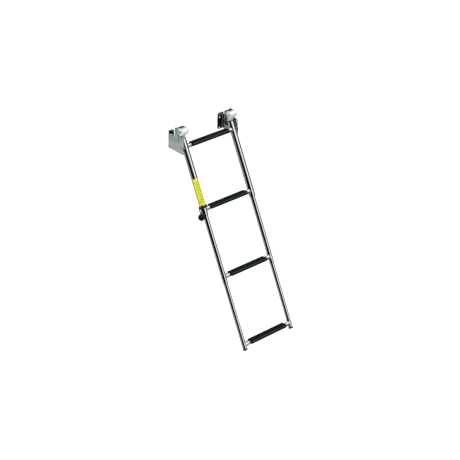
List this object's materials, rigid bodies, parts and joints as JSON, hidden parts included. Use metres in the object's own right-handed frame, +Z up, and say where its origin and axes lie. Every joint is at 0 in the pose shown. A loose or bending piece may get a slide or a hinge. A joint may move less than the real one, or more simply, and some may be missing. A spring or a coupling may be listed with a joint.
{
  "type": "boat boarding ladder",
  "caption": "Telescoping boat boarding ladder in polished stainless tube with ribbed black treads, hinged on two angle brackets that bolt to a transom.",
  "frame": {"origin": "centre of the four-hole transom pattern, on the transom plane (back faces of both flanges)", "axes": "+X to the climber's right, +Y into the boat, +Z up; the ladder leans towards -Y at its foot"},
  "size_m": [0.3332, 0.5097, 0.8978],
  "materials": {
    "tube_stainless": "mirror-polished stainless tube",
    "bracket_stainless": "polished stainless sheet",
    "cast_stainless": "polished stainless casting",
    "fastener_stainless": "bright stainless",
    "tread_plastic": "ribbed black moulding, slight sheen",
    "collar_plastic": "black nylon",
    "guide_nylon": "natural nylon",
    "bumper_rubber": "matt black rubber",
    "ball_rubber": "black, slight gloss",
    "elastic_cord": "woven black sheath",
    "label_vinyl": "plain yellow vinyl"
  },
  "bodies": {
    "brackets": {"left_hinge_saddle": "bracket_stainless", "left_mounting_bracket": "bracket_stainless", "left_pivot_bolt": "fastener_stainless", "left_stop_bumper": "bumper_rubber", "pivot_nut_washers": "fastener_stainless", "pivot_nuts": "fastener_stainless", "right_hinge_saddle": "bracket_stainless", "right_mounting_bracket": "bracket_stainless", "right_pivot_bolt": "fastener_stainless", "right_stop_bumper": "bumper_rubber"},
    "upper_section": {"bungee_loop": "elastic_cord", "left_hinge_lug": "cast_stainless", "left_upper_end_bush": "collar_plastic", "left_upper_rail": "tube_stainless", "lug_cross_pins": "fastener_stainless", "pivot_bushes": "guide_nylon", "rail_label": "label_vinyl", "rail_top_caps": "collar_plastic", "right_hinge_lug": "cast_stainless", "right_upper_end_bush": "collar_plastic", "right_upper_rail": "tube_stainless", "second_rung_tube": "tube_stainless", "second_tread": "tread_plastic", "second_tread_screws": "fastener_stainless", "top_rung_tube": "tube_stainless", "top_tread": "tread_plastic", "top_tread_screws": "fastener_stainless"},
    "middle_section": {"left_middle_end_bush": "collar_plastic", "left_middle_guide_plug": "guide_nylon", "left_middle_rail": "tube_stainless", "right_middle_end_bush": "collar_plastic", "right_middle_guide_plug": "guide_nylon", "right_middle_rail": "tube_stainless", "third_rung_tube": "tube_stainless", "third_tread": "tread_plastic", "third_tread_screws": "fastener_stainless"},
    "lower_section": {"bottom_rung_tube": "tube_stainless", "bottom_tread": "tread_plastic", "bottom_tread_screws": "fastener_stainless", "left_foot_plug": "collar_plastic", "left_lower_guide_plug": "guide_nylon", "left_lower_rail": "tube_stainless", "right_foot_plug": "collar_plastic", "right_lower_guide_plug": "guide_nylon", "right_lower_rail": "tube_stainless"},
    "bungee": {"bungee_ball": "ball_rubber", "bungee_cord": "elastic_cord"}
  },
  "joints": [
    {"name": "ladder_swing", "type": "hinge", "parent": "brackets", "child": "upper_section", "pos_m": [0, -0.0765, 0.068], "axis": [-1, 0, 0], "range_deg": [0, 180]},
    {"name": "middle_slide", "type": "slide", "parent": "upper_section", "child": "middle_section", "axis": [0, 0.454, 0.891], "range_m": [0, 0.258]},
    {"name": "lower_slide", "type": "slide", "parent": "middle_section", "child": "lower_section", "axis": [0, 0.454, 0.891], "range_m": [0, 0.258]},
    {"name": "bungee_swing", "type": "hinge", "parent": "upper_section", "child": "bungee", "pos_m": [-0.15078, -0.2145, -0.23691], "axis": [-0.273, 0.8391, -0.4706], "range_deg": [0, 75]}
  ]
}
